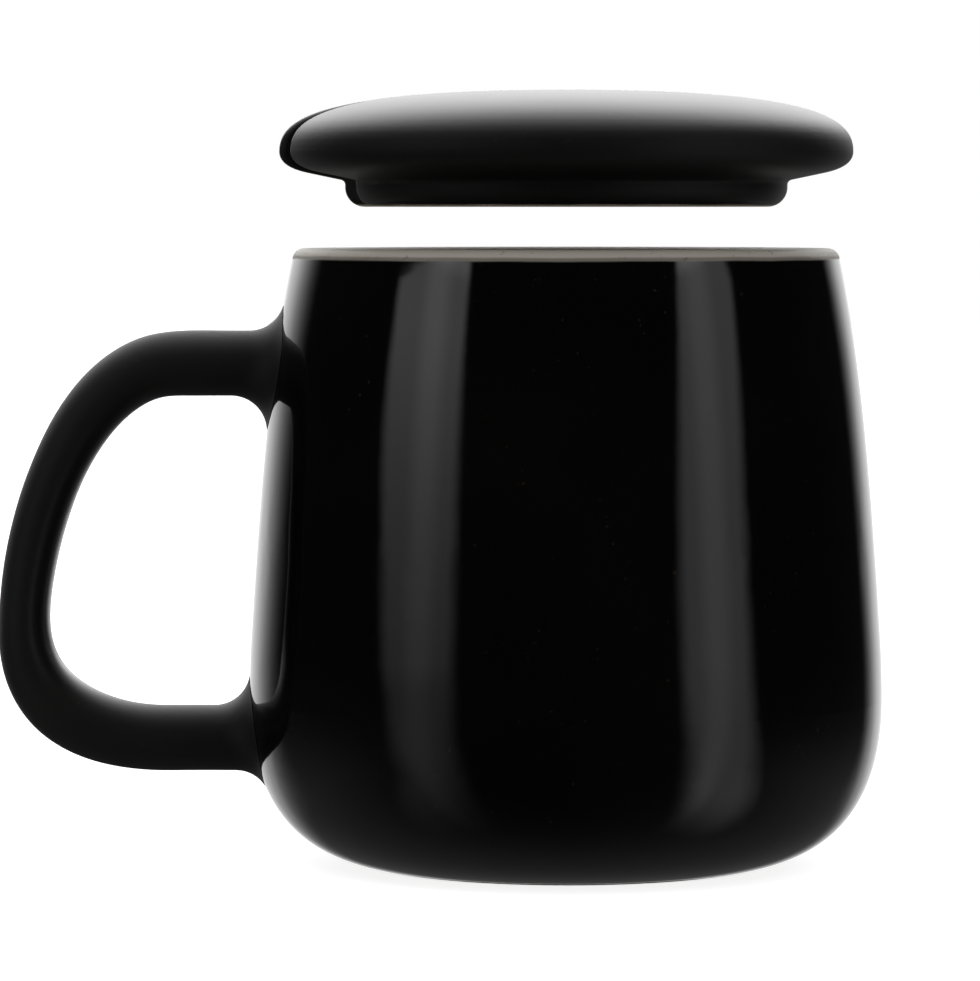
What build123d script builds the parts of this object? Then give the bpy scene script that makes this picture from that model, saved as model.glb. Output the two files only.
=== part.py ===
from build123d import *
import math
import os

# Tea mug with a lift-off lid and a lift-out steel infuser basket. Millimetres, +Z up.
# The origin is on the mug's axis, in the plane that its foot ring stands on.
# The handle points along -X, and the lid hangs level above the mouth, lifted off its seat.

# Mug body: glazed stoneware, turned about the Z axis
mug_height = 95.4
rim_diameter = 83.6
rim_lean = 12.5  # degrees that the wall leans in at the rim
flank_height = 41.5
flank_diameter = 96.4
belly_height = 26.0
belly_diameter = 97.8
heel_drop = 0.70  # share of the belly's height before the heel turns in
heel_reach = 0.60  # share of the foot's inset over which it turns level
wall = 4.8
floor_thickness = 6.0
floor_diameter = 46.0  # flat part of the inside floor
lip_thickness = 4.0
lip_rounding = 0.45  # share of the lip's thickness, under one half

# Foot ring under the body
foot_diameter = 50.0
foot_land = 3.5
foot_recess = 2.2
foot_slope = 1.2
foot_rounding = 0.5

# Gallery inside the mouth: the ledge that carries the infuser
gallery_depth = 3.5
ledge_width = 2.0
ledge_thickness = 2.5
ledge_skirt = 6.0  # height over which the ledge runs back into the wall
ledge_rounding = 0.6
skirt_rounding = 2.0
skirt_lean = 10.5  # degrees, the inside wall's lean at the skirt's foot

# Handle: one oval strap, luted on at two roots. Distances out are from the belly
handle_top = 77.7
handle_bottom = 19.7
upper_run = 10.6
upper_sweep = 16.8  # how far the top runs on before it turns down
grip_out = 34.8
grip_height = 37.5
grip_rise = 12.8  # upright reach of the grip above and below its height
grip_drop = 16.8
lower_sweep = 4.6
lower_run = 13.2
root_thickness = 10.1
knuckle_thickness = 8.4
grip_thickness = 7.8
heel_thickness = 10.5
root_width = 13.5
grip_width = 12.4
root_fillet = 5.5
handle_sections = 25
luting_gap = 0.05  # glaze line between the handle's foot and the body

# Infuser: stainless sheet
flange_sheet = 0.6
basket_sheet = 0.5
bead_diameter = 1.8
rim_clearance = 0.3  # bead to gallery wall
seat_clearance = 0.2  # bead to ledge
collar_clearance = 0.4  # collar to the ledge's inner edge
collar_height = 8.6
collar_rounding = 1.0
lap = 3.5  # wall inside the collar
lap_clearance = 0.05
basket_depth = 72.0  # ledge to the underside of the basket
hoop_height = 5.0
hoop_lip = 3.0
hoop_rounding = 0.8

# Slots cut through the basket's wall and floor
slot_width = 1.0
slot_length = 8.4
slot_rows = 5
slot_columns = 36
plain_band = 7.5  # uncut sheet at the wall's upper and lower edges
floor_rings = 3
floor_slot_length = 5.0
floor_slot_pitch = 5.6
floor_ring_gap = 3.6
floor_hub = 6.0

# Lid: glazed stoneware lens with a plug that enters the infuser's collar
lid_overhang = 2.4
lid_edge_drop = 3.3  # seat to the lid's widest circle
lid_dome = 9.4  # widest circle to the crown
dome_flat = 0.86  # share of the radius before the dome turns down
edge_fullness = 0.56
plug_clearance = 0.7
plug_height = 5.2
seat_drop = 1.2  # how far the seat slopes down to the plug
plug_rounding = 3.0
plug_root_rounding = 0.8
dish_diameter = 48.0
dish_depth = 9.5
dish_rounding = 1.0
lid_seat_clearance = 0.3
lid_lift = 11.3  # how far the lid is shown above its seat

# Notch in the lid's edge for a spoon or a tea bag's string
notch_width = 12.0
notch_depth = 15.2
notch_angle = 189.0  # degrees about +Z from +X
notch_rounding = 1.2

# Worked out from the sizes above
rim_radius = rim_diameter / 2
flank_radius = flank_diameter / 2
belly_radius = belly_diameter / 2
foot_radius = foot_diameter / 2
mouth_radius = rim_radius - lip_thickness
ledge_radius = mouth_radius - ledge_width
ledge_level = mug_height - gallery_depth
bead_radius = bead_diameter / 2
flange_top = ledge_level + seat_clearance + bead_diameter
collar_outside = ledge_radius - collar_clearance
collar_inside = collar_outside - flange_sheet
wall_outside = collar_inside - lap_clearance
wall_inside = wall_outside - basket_sheet
hoop_outside = wall_outside + lap_clearance + basket_sheet
basket_bottom = ledge_level - basket_depth
floor_level = basket_bottom + basket_sheet
wall_foot = floor_level + basket_sheet
wall_top = flange_top - collar_height + lap
lid_radius = rim_radius + lid_overhang
plug_radius = collar_inside - plug_clearance
lid_seat_radius = rim_radius - lip_thickness / 2
lid_level = mug_height + lid_seat_clearance + lid_lift


def turned(face):
    """Turn a half section in the XZ plane into a round solid."""
    return revolve(face, Axis.Z)


def rounded(face, corners):
    """Round corners of a half section, each given as its radius, height and rounding."""
    for radius, height, size in corners:
        corner = face.vertices().sort_by_distance((radius, 0, height))[0]
        face = fillet(corner, size)
    return face


def chain(*points):
    """Straight lines from point to point."""
    return [Line(start, end) for start, end in zip(points, points[1:])]


def heel_curve(top, foot):
    """Full quarter turn from an upright wall at top to a level floor at foot."""
    drop = (top[1] - foot[1]) * heel_drop
    reach = (top[0] - foot[0]) * heel_reach
    return Bezier(top, (top[0], top[1] - drop), (foot[0] + reach, foot[1]), foot)


def flank_curve(top, lean, inset):
    """The wall's long curve from top, leaning out by degrees, to the upright belly."""
    return Spline(
        top,
        (flank_radius - inset, flank_height),
        (belly_radius - inset, belly_height),
        tangents=[(math.sin(math.radians(lean)), -math.cos(math.radians(lean))), (0, -1)],
    )


def outside_curves():
    """The body's outside, from the rim down to the foot ring."""
    upper = flank_curve((rim_radius, mug_height), rim_lean, 0)
    return [upper, heel_curve((belly_radius, belly_height), (foot_radius, 0))]


def inside_curves():
    """The body's inside, from under the ledge down to the flat floor."""
    skirt_foot = ledge_level - ledge_thickness - ledge_skirt
    spread = math.tan(math.radians(skirt_lean))
    skirt_radius = rim_radius + spread * (mug_height - skirt_foot) - wall
    skirt = Line((ledge_radius, ledge_level - ledge_thickness), (skirt_radius, skirt_foot))
    upper = flank_curve((skirt_radius, skirt_foot), skirt_lean, wall)
    belly = (belly_radius - wall, belly_height)
    corner = (skirt_radius, skirt_foot, skirt_rounding)
    return [skirt, upper, heel_curve(belly, (floor_diameter / 2, floor_thickness))], corner


def make_mug_body():
    """Body with its lip, ledge, floor and recessed foot."""
    inside, skirt_corner = inside_curves()
    recess = foot_radius - foot_land
    mouth = chain(
        (rim_radius, mug_height),
        (mouth_radius, mug_height),
        (mouth_radius, ledge_level),
        (ledge_radius, ledge_level),
        (ledge_radius, ledge_level - ledge_thickness),
    )
    base = chain(
        (floor_diameter / 2, floor_thickness),
        (0, floor_thickness),
        (0, foot_recess),
        (recess - foot_slope, foot_recess),
        (recess, 0),
        (foot_radius, 0),
    )
    face = make_face(Plane.XZ * Curve(outside_curves() + mouth + inside + base))
    lip = lip_rounding * lip_thickness
    face = rounded(
        face,
        [
            (rim_radius, mug_height, lip),
            (mouth_radius, mug_height, lip),
            (mouth_radius, ledge_level, ledge_rounding),
            (ledge_radius, ledge_level, ledge_rounding),
            (ledge_radius, ledge_level - ledge_thickness, ledge_rounding),
            skirt_corner,
            (recess, 0, foot_rounding),
        ],
    )
    return turned(face)


def make_body_envelope(gap):
    """The body filled solid and wider by a gap, which the handle is cut to."""
    curves = [Pos(gap, 0) * curve for curve in outside_curves()]
    closing = chain((foot_radius + gap, 0), (0, 0), (0, mug_height), (rim_radius + gap, mug_height))
    return turned(make_face(Plane.XZ * Curve(curves + closing)))


def handle_curves():
    """Middle line of the handle: two straight runs into the body and the two bends between."""

    def at(out, height):
        return (-belly_radius - out, 0, height)

    buried = rim_radius - root_fillet - belly_radius
    grip = at(grip_out, grip_height)
    top = Line(at(buried, handle_top), at(upper_run, handle_top))
    knuckle = Bezier(
        at(upper_run, handle_top),
        at(upper_run + upper_sweep, handle_top),
        at(grip_out, grip_height + grip_rise),
        grip,
    )
    heel = Bezier(
        grip,
        at(grip_out, grip_height - grip_drop),
        at(lower_run + lower_sweep, handle_bottom),
        at(lower_run, handle_bottom),
    )
    bottom = Line(at(lower_run, handle_bottom), at(buried, handle_bottom))
    return top, knuckle, heel, bottom


def between(share, marks, sizes):
    """The size at a share of the way, on straight lines between the marks."""
    for low, high, first, last in zip(marks, marks[1:], sizes, sizes[1:]):
        if share <= high:
            return first + (last - first) * (share - low) / (high - low)
    return sizes[-1]


def make_strap():
    """The handle's oval strap, lofted along its middle line into the body."""
    top, knuckle, heel, bottom = handle_curves()
    path = Wire([top, knuckle, heel, bottom])
    points = [top @ 0, top @ 1, knuckle @ 0.5, knuckle @ 1, heel @ 0.5, heel @ 1, bottom @ 1]
    marks = [path.param_at_point(point) for point in points]
    thicknesses = [
        root_thickness,
        root_thickness,
        knuckle_thickness,
        grip_thickness,
        heel_thickness,
        root_thickness,
        root_thickness,
    ]
    widths = [root_width, root_width, grip_width, grip_width, grip_width, root_width, root_width]
    ovals = []
    for count in range(handle_sections):
        share = count / (handle_sections - 1)
        across = Plane(origin=path @ share, x_dir=(0, 1, 0), z_dir=path % share)
        width = between(share, marks, widths)
        thickness = between(share, marks, thicknesses)
        ovals.append(across * Ellipse(width / 2, thickness / 2))
    return loft(ovals)


def make_handle():
    """The strap with flared roots, cut to the body's outside."""
    joined = make_body_envelope(0) + make_strap()
    seams = [edge for edge in joined.edges() if is_root_seam(edge)]
    return fillet(seams, root_fillet) - make_body_envelope(luting_gap)


def is_root_seam(edge):
    """True for the two closed edges where the strap meets the body."""
    box = edge.bounding_box()
    return box.max.X < 0 and -belly_radius - 1 < box.min.X and box.size.Y > grip_width / 2


def make_rim_ring():
    """Flange with a closed rolled bead and a short collar, in one pressing."""
    bead_at = mouth_radius - rim_clearance - bead_radius
    collar = Pos((collar_inside + collar_outside) / 2, flange_top - collar_height / 2) * Rectangle(
        flange_sheet, collar_height
    )
    flange = Pos((collar_inside + bead_at) / 2, flange_top - flange_sheet / 2) * Rectangle(
        bead_at - collar_inside, flange_sheet
    )
    bead = Pos(bead_at, flange_top - bead_radius) * Circle(bead_radius)
    face = Plane.XZ * (collar + flange + bead)
    return turned(rounded(face, [(collar_inside, flange_top, collar_rounding)]))


def ring_of(cutter, radius, count, turn=0):
    """Copies of a cutter, evenly spaced round a circle."""
    pitch = 360 / count
    return [Rot(0, 0, turn + pitch * step) * Pos(radius, 0) * cutter for step in range(count)]


def make_infuser_wall():
    """Rolled sheet cylinder with staggered rows of upright slots."""
    height = wall_top - wall_foot
    sheet = Cylinder(wall_outside, height) - Cylinder(wall_inside, height)
    pitch = (height - 2 * plain_band) / slot_rows
    slot = Box(4 * basket_sheet, slot_width, slot_length)
    middle = (wall_outside + wall_inside) / 2
    cuts = []
    for row in range(slot_rows):
        level = -height / 2 + plain_band + pitch * (row + 0.5)
        stagger = 180 / slot_columns * (row % 2)
        cuts += ring_of(Pos(0, 0, level) * slot, middle, slot_columns, stagger)
    return Pos(0, 0, wall_foot + height / 2) * (sheet - cuts)


def make_base_hoop():
    """Folded hoop that holds the floor against the wall."""
    inside = hoop_outside - basket_sheet
    upright = Pos((inside + hoop_outside) / 2, basket_bottom + hoop_height / 2) * Rectangle(
        basket_sheet, hoop_height
    )
    lip = Pos(hoop_outside - hoop_lip / 2, basket_bottom + basket_sheet / 2) * Rectangle(
        hoop_lip, basket_sheet
    )
    face = Plane.XZ * (upright + lip)
    return turned(rounded(face, [(hoop_outside, basket_bottom, hoop_rounding)]))


def make_infuser_floor():
    """Floor disc with rings of radial slots."""
    disc = Cylinder(wall_outside, basket_sheet)
    slot = Box(floor_slot_length, slot_width, 2 * basket_sheet)
    cuts = []
    for ring in range(floor_rings):
        middle = floor_hub + floor_slot_length / 2 + ring * (floor_slot_length + floor_ring_gap)
        count = int(2 * math.pi * middle / floor_slot_pitch)
        cuts += ring_of(slot, middle, count)
    return Pos(0, 0, floor_level + basket_sheet / 2) * (disc - cuts)


def lid_section():
    """Half section of the lid above its seat plane, with the plug below it."""
    crown = lid_edge_drop + lid_dome
    edge = (lid_radius, lid_edge_drop)
    seat = (lid_seat_radius, 0)
    dome = Bezier(
        (0, crown),
        (lid_radius * dome_flat, crown),
        (lid_radius, lid_edge_drop + lid_dome * edge_fullness),
        edge,
    )
    reach = (lid_radius - lid_seat_radius) * edge_fullness
    slope = seat_drop / (lid_seat_radius - plug_radius)
    under = Bezier(
        edge,
        (lid_radius, lid_edge_drop * (1 - edge_fullness)),
        (lid_seat_radius + reach, reach * slope),
        seat,
    )
    dish_radius = dish_diameter / 2
    plug = chain(
        seat,
        (plug_radius, -seat_drop),
        (plug_radius, -plug_height),
        (dish_radius, -plug_height),
    )
    dish_sphere = (dish_radius**2 + dish_depth**2) / (2 * dish_depth)
    dish_top = dish_depth - plug_height
    midway = math.asin(dish_radius / dish_sphere) / 2
    dish = ThreePointArc(
        (dish_radius, -plug_height),
        (
            dish_sphere * math.sin(midway),
            dish_top - dish_sphere * (1 - math.cos(midway)),
        ),
        (0, dish_top),
    )
    axis = Line((0, dish_top), (0, crown))
    face = make_face(Plane.XZ * Curve([dome, under, dish, axis] + plug))
    return rounded(
        face,
        [
            (plug_radius, -seat_drop, plug_root_rounding),
            (plug_radius, -plug_height, plug_rounding),
            (dish_radius, -plug_height, dish_rounding),
        ],
    )


def make_lid():
    """Lens-shaped lid with its plug and a round-ended notch in the edge."""
    inner_end = lid_radius - notch_depth
    middle = inner_end + notch_width / 2
    outer = 2 * lid_radius
    height = 4 * (lid_dome + plug_height)
    round_end = Pos(middle, 0, 0) * Cylinder(notch_width / 2, height)
    mouth = Pos((middle + outer) / 2, 0, 0) * Box(outer - middle, notch_width, height)
    cutter = Rot(0, 0, notch_angle) * (round_end + mouth)
    cut = turned(lid_section()) - cutter
    # The round end's upper edge runs on smoothly round the whole notch, and so does its rounding
    round_edge = cut.edges().filter_by(GeomType.BSPLINE).sort_by(Axis.Z)[-1]
    return Pos(0, 0, lid_level) * fillet(round_edge, notch_rounding)


makers = {
    "mug_body": make_mug_body,
    "handle": make_handle,
    "lid": make_lid,
    "infuser_rim_ring": make_rim_ring,
    "infuser_wall": make_infuser_wall,
    "infuser_base_hoop": make_base_hoop,
    "infuser_floor": make_infuser_floor,
}

os.makedirs("parts", exist_ok=True)
for name, maker in makers.items():
    export_step(maker(), os.path.join("parts", name + ".step"))
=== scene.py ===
import math

import bpy
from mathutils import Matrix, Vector


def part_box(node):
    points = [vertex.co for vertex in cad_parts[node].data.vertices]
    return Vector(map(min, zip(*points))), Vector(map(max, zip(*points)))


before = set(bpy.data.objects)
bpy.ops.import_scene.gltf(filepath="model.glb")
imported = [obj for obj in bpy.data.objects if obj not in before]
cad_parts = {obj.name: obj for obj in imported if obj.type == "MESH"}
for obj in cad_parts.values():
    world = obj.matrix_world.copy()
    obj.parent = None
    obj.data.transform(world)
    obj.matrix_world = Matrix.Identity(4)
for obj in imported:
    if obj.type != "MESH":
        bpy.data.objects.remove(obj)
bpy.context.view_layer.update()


# ---- Mug body: slip-cast stoneware, glossy black outside and a softer, warm grey inside. The grey
# liner glaze is poured first and runs over the lip, where it shows above the black. The foot
# ring is wiped bare before the firing, so that it doesn't stick to the kiln shelf.
class Socket:
    """An output of a shader node. Arithmetic on it adds Math nodes to its material."""

    def __init__(self, tree, output):
        self.tree = tree
        self.output = output

    def make(self, kind, settings=None, sockets=None, output=0):
        """A new node of any kind: its settings, the values or links of its sockets, its output."""
        node = self.tree.nodes.new(kind)
        for name, value in (settings or {}).items():
            setattr(node, name, value)
        for name, value in (sockets or {}).items():
            if isinstance(value, Socket):
                self.tree.links.new(value.output, node.inputs[name])
            else:
                node.inputs[name].default_value = value
        return Socket(self.tree, node.outputs[output])

    def math(self, operation, *values):
        return self.make("ShaderNodeMath", {"operation": operation}, dict(enumerate(values)))

    def __add__(self, other):
        return self.math("ADD", self, other)

    def __sub__(self, other):
        return self.math("SUBTRACT", self, other)

    def __rsub__(self, other):
        return self.math("SUBTRACT", other, self)

    def __mul__(self, other):
        return self.math("MULTIPLY", self, other)

    def __truediv__(self, other):
        return self.math("DIVIDE", self, other)

    def __pow__(self, other):
        return self.math("POWER", self, other)

    def __abs__(self):
        return self.math("ABSOLUTE", self)

    __radd__ = __add__
    __rmul__ = __mul__

    def most(self, other):
        return self.math("MAXIMUM", self, other)

    def step(self, low, high):
        """0 up to low and 1 from high on, with a smooth rise between."""
        ends = {"Value": self, "From Min": low, "From Max": high}
        return self.make("ShaderNodeMapRange", {"interpolation_type": "SMOOTHSTEP"}, ends)

    def axes(self):
        """The three numbers of a vector."""
        split = self.make("ShaderNodeSeparateXYZ", sockets={"Vector": self})
        return [Socket(self.tree, output) for output in split.output.node.outputs]

    def stretched(self, *factors):
        """A vector with each of its axes multiplied."""
        return self.make("ShaderNodeVectorMath", {"operation": "MULTIPLY"}, {0: self, 1: factors})

    def noise(self, scale, detail):
        """Cloudy values about 0.5 at this place, scale of them to the metre."""
        sockets = {"Vector": self, "Scale": scale, "Detail": detail}
        return self.make("ShaderNodeTexNoise", None, sockets)

    def colours(self, low, high):
        """The colour low where this value is 0, and high where it is 1."""
        ends = [end if isinstance(end, Socket) else (*end, 1) for end in (low, high)]
        sockets = {0: self, 6: ends[0], 7: ends[1]}
        return self.make("ShaderNodeMix", {"data_type": "RGBA"}, sockets, 2)


def new_finish(name):
    """A material, its shader and the place on the piece that it is worked out from."""
    material = bpy.data.materials.new(name)
    material.use_nodes = True
    tree = material.node_tree
    shader = tree.nodes["Principled BSDF"]
    place = Socket(tree, tree.nodes.new("ShaderNodeTexCoord").outputs["Object"])
    return material, shader, place


def paint(shader, **values):
    """Links values to the shader's sockets; an underscore stands for a space."""
    for name, value in values.items():
        value.tree.links.new(value.output, shader.inputs[name.replace("_", " ")])


def relief(shader, height):
    """Bumps the surface by a height in millimetres."""
    bump = height.make("ShaderNodeBump", None, {"Height": height, "Distance": 0.001})
    paint(shader, Normal=bump)


def black_glaze(place, thick, thin):
    """Colour of a black glaze: clouds where it lies thick or thin, and a few iron specks."""
    cloud = place.noise(30, 3).step(0.4, 0.7)
    speck = place.noise(1400, 1).step(0.74, 0.78)
    return (speck * 0.5).colours(cloud.colours(thick, thin), iron_speck)


def dress(node, material):
    """Puts a material on a piece."""
    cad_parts[node].material_slots[0].material = material


deep_black = (0.0008, 0.0008, 0.0009)
brown_black = (0.0017, 0.0015, 0.0014)
iron_speck = (0.030, 0.018, 0.010)
liner_grey = (0.33, 0.305, 0.265)
liner_speck = (0.19, 0.165, 0.135)
broken_glaze = (0.07, 0.052, 0.038)
bare_clay = (0.50, 0.43, 0.345)
clay_grog = (0.30, 0.235, 0.17)
glaze_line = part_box("mug_body")[1][2] - 0.0015
glaze_fade = 0.0003
inner_floor_radius = 0.0385
foot_ring_inside = 0.0198
foot_ring_top = 0.004
foot_line = 0.0009

# Heights of the relief, in millimetres.
glaze_ripple = 0.012
glaze_thickness = 0.12
grain_height = 0.05

mug_glaze, shader, place = new_finish("mug_glaze")
x, y, z = place.axes()
radius = (x * x + y * y) ** 0.5
facing = place.make("ShaderNodeTexCoord", output="Normal")
facing_x, facing_y, _ = facing.axes()
outward = (facing_x * x + facing_y * y) / radius
wander = place.noise(90, 3) - 0.5
lip_height = z + wander * 0.0003
lip = lip_height.step(glaze_line - glaze_fade, glaze_line + 0.0002)
inner_wall = (0 - outward).step(0.1, 0.3) * z.step(foot_ring_top - 0.001, foot_ring_top)
above_foot = z.step(foot_ring_top - 0.0005, foot_ring_top)
inner_floor = (inner_floor_radius - radius).step(0, 0.0002) * above_foot
lining = lip.most(inner_wall).most(inner_floor)
break_line = lip * (1 - lip_height.step(glaze_line + 0.0002, glaze_line + 0.0006))
wiped = (foot_line - z + wander * 0.0004).step(0, 0.0002)
bare = wiped * radius.step(foot_ring_inside, foot_ring_inside + 0.0006)
grain = place.noise(2600, 2)
liner = place.noise(1100, 1).step(0.68, 0.74).colours(liner_grey, liner_speck)
clay = grain.step(0.45, 0.75).colours(bare_clay, clay_grog)
coated = lining.colours(
    black_glaze(place, deep_black, brown_black), (break_line * 0.7).colours(liner, broken_glaze)
)
gloss = 0.045 + place.noise(14, 2) * 0.03
paint(
    shader,
    Base_Color=bare.colours(coated, clay),
    Roughness=gloss * (1 - lining) + 0.55 * lining + 0.6 * bare,
)
ripple = place.noise(170, 2) * glaze_ripple
relief(shader, ripple + (1 - bare) * glaze_thickness + bare * grain * grain_height)
dress("mug_body", mug_glaze)

# ---- Handle: an oval strap of the same clay, cast apart in a two-part mould. It is luted to the
# leather-hard body with slip and glazed with it, and the glaze comes out satin, a little glossier
# inside the loop. The fettled mould seam still shows as a faint ridge along its middle.
satin_black = (0.0054, 0.0054, 0.0056)
satin_brown = (0.0070, 0.0066, 0.0061)
seam_width = 0.0007
seam_wander = 0.0006
seam_ridge = 0.012
handle_glaze, shader, place = new_finish("handle_glaze")
_, y, _ = place.axes()
to_mug, _, _ = place.make("ShaderNodeTexCoord", output="Normal").axes()
seam = 1 - abs(y + (place.noise(60, 2) - 0.5) * seam_wander).step(0, seam_width)
shader.inputs["Specular IOR Level"].default_value = 0.3
paint(
    shader,
    Base_Color=black_glaze(place, satin_black, satin_brown),
    Roughness=0.58 + place.noise(20, 2) * 0.08 - to_mug.most(0) * 0.4,
)
relief(shader, place.noise(190, 2) * glaze_ripple + seam * seam_ridge)
dress("handle", handle_glaze)


# ---- Infuser floor: a disc blanked from thin stainless sheet, with rings of etched slots. The
# sheet keeps the one-way grain of its rolling.
sheet_steel = (0.60, 0.59, 0.57)
dull_steel = (0.47, 0.46, 0.445)
straw_tint = (0.50, 0.40, 0.26)


def brushed(shader, marks, base_roughness, heat=None):
    """Brush marks on bare steel: their tone and sheen, and a weld's straw tint where it got hot."""
    shader.inputs["Metallic"].default_value = 1
    tone = marks.step(0.3, 0.7).colours(dull_steel, sheet_steel)
    if heat:
        tone = heat.colours(tone, straw_tint)
    paint(shader, Base_Color=tone, Roughness=base_roughness + marks * 0.16)


floor_steel, shader, place = new_finish("floor_steel")
marks = place.stretched(60, 2600, 1).noise(1, 3)
brushed(shader, marks, 0.2)
relief(shader, marks * 0.01)
dress("infuser_floor", floor_steel)

# ---- Infuser wall: slotted sheet, rolled into a tube and closed by a butt weld down its back.
# The weld is ground flush, and its heat leaves a narrow straw-coloured band.
weld_side = 0.004
weld_edge = 0.0006
heat_edge = 0.0022
wall_steel, shader, place = new_finish("basket_steel")
x, y, z = place.axes()
marks = place.stretched(2400, 2400, 40).noise(1, 3)
weld_distance = abs(x - weld_side + (place.noise(200, 2) - 0.5) * 0.0004)
back = y.step(0, 0.001)
weld = (1 - weld_distance.step(0.0002, weld_edge)) * back
heat = (1 - weld_distance.step(0.0004, heat_edge)) * back * 0.7
brushed(shader, marks, 0.22, heat)
relief(shader, marks * 0.01 + weld * 0.03)
dress("infuser_wall", wall_steel)


# ---- Infuser base hoop: a narrow strip, folded round the lower edge of the wall over the rim of
# the floor disc and spot welded through all the layers.
def spot_welds(place, level, ring_radius):
    """Round dimples, evenly spaced on a ring of that radius at that height."""
    x, y, z = place.axes()
    turn = x.math("ARCTAN2", y, x) * (weld_count / math.tau)
    along = (turn.math("FRACT", turn) - 0.5) * (math.tau * ring_radius / weld_count)
    distance = (along * along + (z - level) * (z - level)) ** 0.5
    return 1 - distance.step(weld_radius - 0.0004, weld_radius)


def turned_marks(place):
    """Fine rings about the axis, left by polishing on the lathe."""
    x, y, z = place.axes()
    radius = (x * x + y * y) ** 0.5
    across = place.make("ShaderNodeCombineXYZ", None, {"X": radius * 3000, "Y": z * 3000})
    return across.noise(1, 2)


weld_count = 16
weld_radius = 0.0011
weld_depth = 0.06
low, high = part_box("infuser_base_hoop")
hoop_steel, shader, place = new_finish("hoop_steel")
marks = turned_marks(place)
welds = spot_welds(place, (low[2] + high[2]) / 2, high[0])
brushed(shader, marks, 0.2, welds * 0.5)
relief(shader, marks * 0.008 - welds * weld_depth)
dress("infuser_base_hoop", hoop_steel)

# ---- Infuser rim ring: one pressing with a rolled bead, a flat flange that lies on the mug's
# inner ledge, and a short collar that is spot welded to the wall inside it. It is polished.
low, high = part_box("infuser_rim_ring")
collar_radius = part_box("infuser_wall")[1][0]
lap_level = (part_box("infuser_wall")[1][2] + low[2]) / 2
ring_steel, shader, place = new_finish("rim_ring_steel")
marks = turned_marks(place)
welds = spot_welds(place, lap_level, collar_radius)
brushed(shader, marks, 0.12, welds * 0.5)
relief(shader, marks * 0.006 - welds * weld_depth)
dress("infuser_rim_ring", ring_steel)

# ---- Lid: pressed stoneware in a satin black glaze, which dries duller on the brim and below it.
# The plug under it centres it in the infuser's collar. It is fired standing on the plug, whose
# flat lower edge stays bare.
bare_height = 0.0004
dome_depth = 0.004
brim_depth = 0.010
lid_ripple = 0.02
lid_glaze_thickness = 0.1
low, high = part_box("lid")
lid_glaze, shader, place = new_finish("lid_glaze")
_, _, z = place.axes()
grain = place.noise(2600, 2)
brim = (high[2] - z).step(dome_depth, brim_depth)
bare = (low[2] + bare_height - z + (place.noise(90, 3) - 0.5) * 0.0003).step(0, 0.0002)
clay = grain.step(0.45, 0.75).colours(bare_clay, clay_grog)
paint(
    shader,
    Base_Color=bare.colours(black_glaze(place, deep_black, brown_black), clay),
    Roughness=0.4 + place.noise(16, 2) * 0.08 + 0.2 * brim + 0.2 * bare,
)
ripple = place.noise(160, 2) * lid_ripple
relief(shader, ripple + (1 - bare) * lid_glaze_thickness + bare * grain * grain_height)
dress("lid", lid_glaze)

# ---- Stage: a white table and a white wall behind, in a dark room. Two tall softboxes beside the
# camera stand in the reflections, and a wide lamp overhead gives the floor its soft shadow.
bpy.ops.object.select_all(action="DESELECT")
bpy.ops.mesh.primitive_plane_add(size=8)
floor = bpy.context.object
floor.name = "floor"
floor.visible_glossy = False
floor_paint, shader, place = new_finish("floor_paint")
shader.inputs["Base Color"].default_value = (0.9, 0.9, 0.9, 1)
shader.inputs["Roughness"].default_value = 1
shader.inputs["Specular IOR Level"].default_value = 0
shader.inputs["Emission Color"].default_value = (1, 1, 1, 1)
camera_ray = place.make("ShaderNodeLightPath", output="Is Camera Ray")
paint(shader, Emission_Strength=camera_ray * 0.85)
floor.data.materials.append(floor_paint)

world = bpy.data.worlds.new("studio")
bpy.context.scene.world = world
world.use_nodes = True
tree = world.node_tree
tree.nodes.clear()
direction = Socket(tree, tree.nodes.new("ShaderNodeTexCoord").outputs["Generated"])
right, back, up = direction.axes()
azimuth = right.math("ARCTAN2", right, 0 - back) * (180 / math.pi)
height = up.math("ARCSINE", up) * (180 / math.pi)


def strip_light(side, inner, outer, level):
    """A tall softbox between two azimuths, in degrees, whose edges grow softer downwards."""
    soft = 1.5 + (20 - height).most(0) * 0.12
    turn = azimuth * side
    width = ((turn - inner) / soft).step(-1, 1) * ((outer - turn) / soft).step(-1, 1)
    tube = 1 - abs(turn - tube_azimuth).step(1, 9)
    return width * (0.9 + 0.38 * tube) * level * (1 - height.step(strip_top, strip_top + 3))


def past(value, start):
    """How far a value has gone past its start, and 0 before it."""
    return (value - start).most(0)


# The softboxes' edges, in degrees to the side of the mug's front, lean with the height in degrees.
tube_azimuth = 55.5
strip_top = 22
left_inner = 42.2
below = past(0 - height, 0)
top = past(height, 17)
left_outer = 67.5 + 7 * height.step(-4, 8) - below * 0.1 + past(below, 25) * 0.7 - top * 4.1
right_inner = 41.8 + past(height, 4) * 0.33 + past(4 - height, 0) * 0.2 + past(below, 30) * 0.2
right_outer = 69 + past(height, 5) * 0.3 + below * 0.2 + past(below, 20) * 0.3 - top * 1.5

# Both grow brighter upwards, and most in a band at their top.
top_glow = height.step(19.5, 21)
left_level = 0.27 * height.step(-68, -6) + 0.86 * height.step(-4, 17) + 0.6 * top_glow
right_level = 0.58 * height.step(-65, -30) + 0.33 * height.step(-9, 23) + 0.9 * top_glow
left_strip = strip_light(-1, left_inner, left_outer, left_level)
right_strip = strip_light(1, right_inner, right_outer, right_level)

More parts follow.
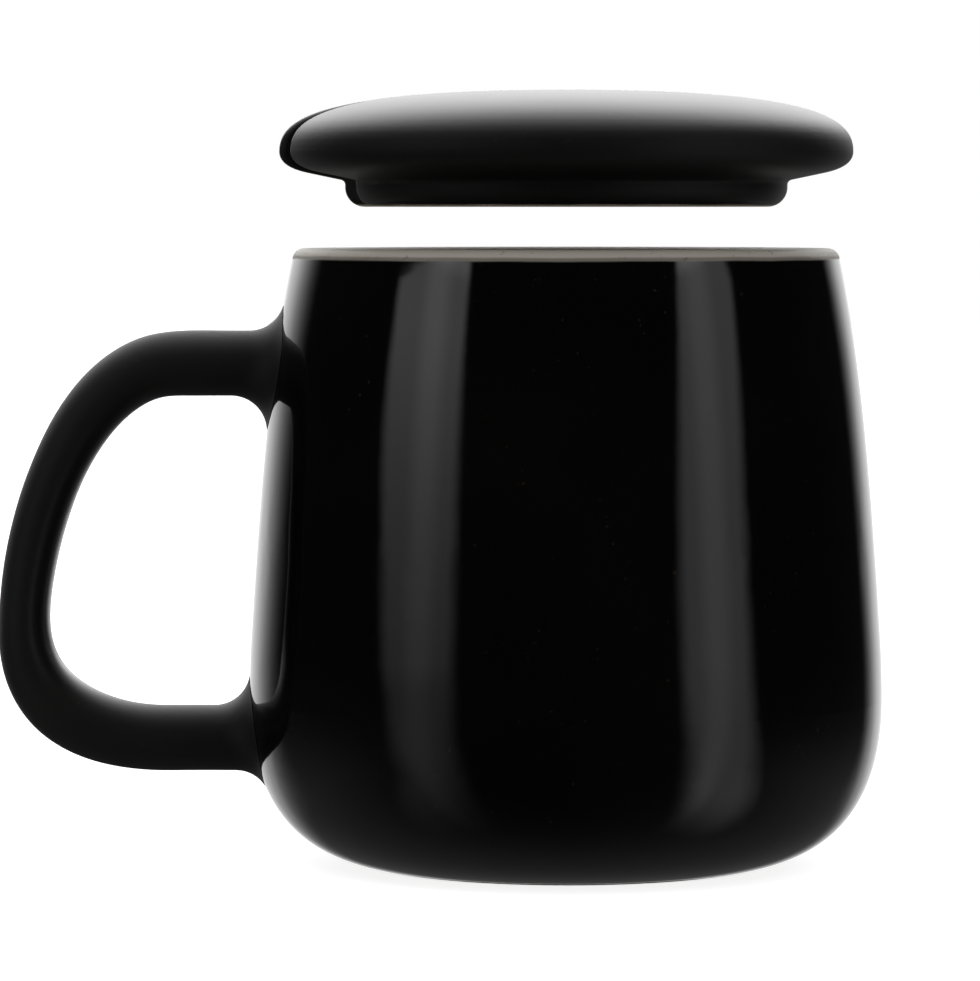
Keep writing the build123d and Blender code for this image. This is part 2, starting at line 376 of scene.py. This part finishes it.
# The white wall fades out to the sides and down to the table, and is brightest near the ceiling.
wall_level = 1.15
room_level = 0.010
sideways = abs(right)
to_right = right.step(-0.1, 0.1)
down = 0 - up
wall_width = 1 - sideways.step(0.39, 0.82 - to_right * 0.12)
wall_foot = 0.42 + 0.08 * (0 - right).step(0.1, 0.4)
ceiling = 1 + 2.2 * up.step(0.03, 0.3) - 1.2 * up.step(0.5, 0.95)
wall_reach = back.step(-0.7, 0.85) * (1 - down.step(0.1, wall_foot)) * ceiling
table_glow = 0.10 * back.step(-0.8, 0.4) * down.step(0, 0.45)
white_wall = wall_level * wall_width * wall_reach
reflected = white_wall + table_glow + left_strip + right_strip + room_level

# Only reflections see this room: other rays see plain light, and the camera and glass see white.
diffuse_level = 0.6
glossy_ray = direction.make("ShaderNodeLightPath", output="Is Glossy Ray")
camera_ray = direction.make("ShaderNodeLightPath", output="Is Camera Ray")
clear_ray = direction.make("ShaderNodeLightPath", output="Is Transmission Ray")
studio = (1 - glossy_ray) * diffuse_level + glossy_ray * reflected
strength = studio.most(camera_ray).most(clear_ray)
background = direction.make(
    "ShaderNodeBackground", None, {"Color": (1, 1, 1, 1), "Strength": strength}
)
tree.links.new(background.output, tree.nodes.new("ShaderNodeOutputWorld").inputs["Surface"])

bpy.ops.object.light_add(type="AREA", location=(-0.2, -0.3, 1.1))
overhead = bpy.context.object
overhead.name = "overhead_softbox"
overhead.data.shape = "SQUARE"
overhead.data.size = 1.0
overhead.data.energy = 3.5
overhead.visible_glossy = False
overhead.rotation_euler = (-overhead.location).to_track_quat("-Z", "Y").to_euler()

# The camera stands a little above the lip's height, so that the mouth is seen almost edge on.
picture_width = 0.15141
picture_middle = -0.0117
camera_distance = 0.850
camera_height = 0.1013
bpy.ops.object.camera_add(location=(picture_middle, -camera_distance, camera_height))
camera = bpy.context.object
target = Vector((picture_middle, 0, 0.0580))
camera.rotation_euler = (target - camera.location).to_track_quat("-Z", "Y").to_euler()
camera.data.sensor_width = 36
camera.data.lens = camera.data.sensor_width * camera_distance / picture_width
camera.data.clip_start = 0.01
bpy.context.scene.camera = camera
bpy.context.scene.view_settings.view_transform = "Standard"
